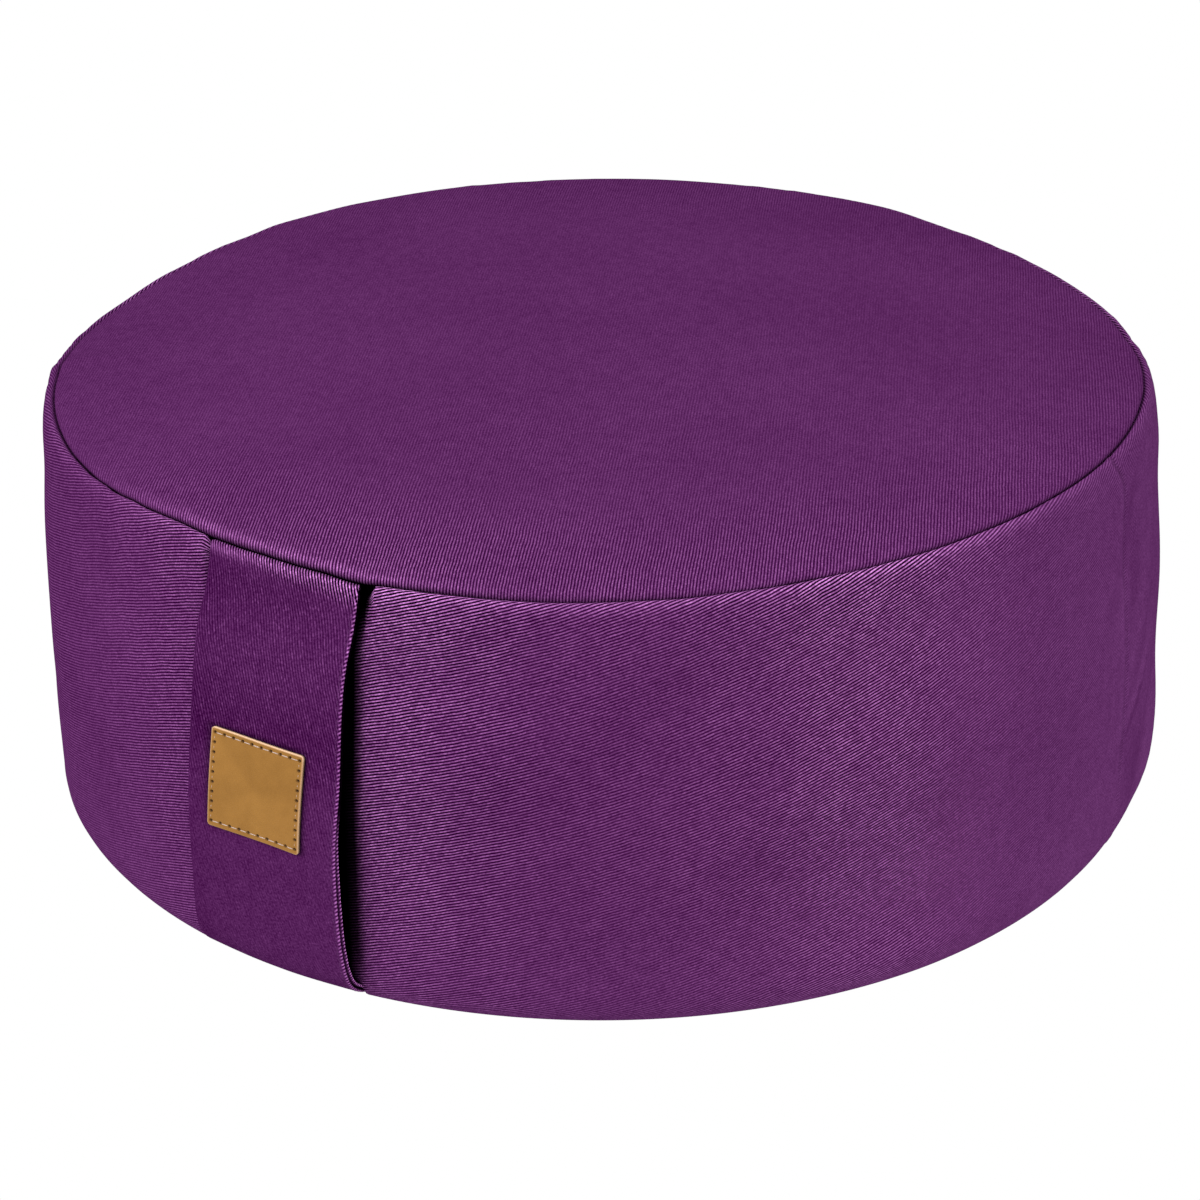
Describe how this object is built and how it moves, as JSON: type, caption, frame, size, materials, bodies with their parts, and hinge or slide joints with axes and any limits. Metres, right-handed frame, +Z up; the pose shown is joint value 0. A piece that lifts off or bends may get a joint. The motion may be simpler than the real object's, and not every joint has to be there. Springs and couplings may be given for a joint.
{
  "type": "zafu meditation cushion",
  "caption": "Round, firmly filled meditation cushion with a flat top, an upright fabric side, a carry strap and a small sewn-on leather patch.",
  "frame": {"origin": "centre of the flat underside, on the surface that the cushion stands on", "axes": "+Z up, -Y out through the middle of the carry strap, +X to the strap's right as seen from in front of it"},
  "size_m": [0.3996, 0.4121, 0.1605],
  "materials": {
    "purple_twill": "matt cotton twill",
    "purple_tape": "matt cotton twill, folded and topstitched",
    "tan_leather": "smooth vegetable-tanned leather"
  },
  "bodies": {
    "root": {"cushion": "purple_twill", "carry_strap": "purple_tape", "leather_patch": "tan_leather"}
  },
  "joints": []
}
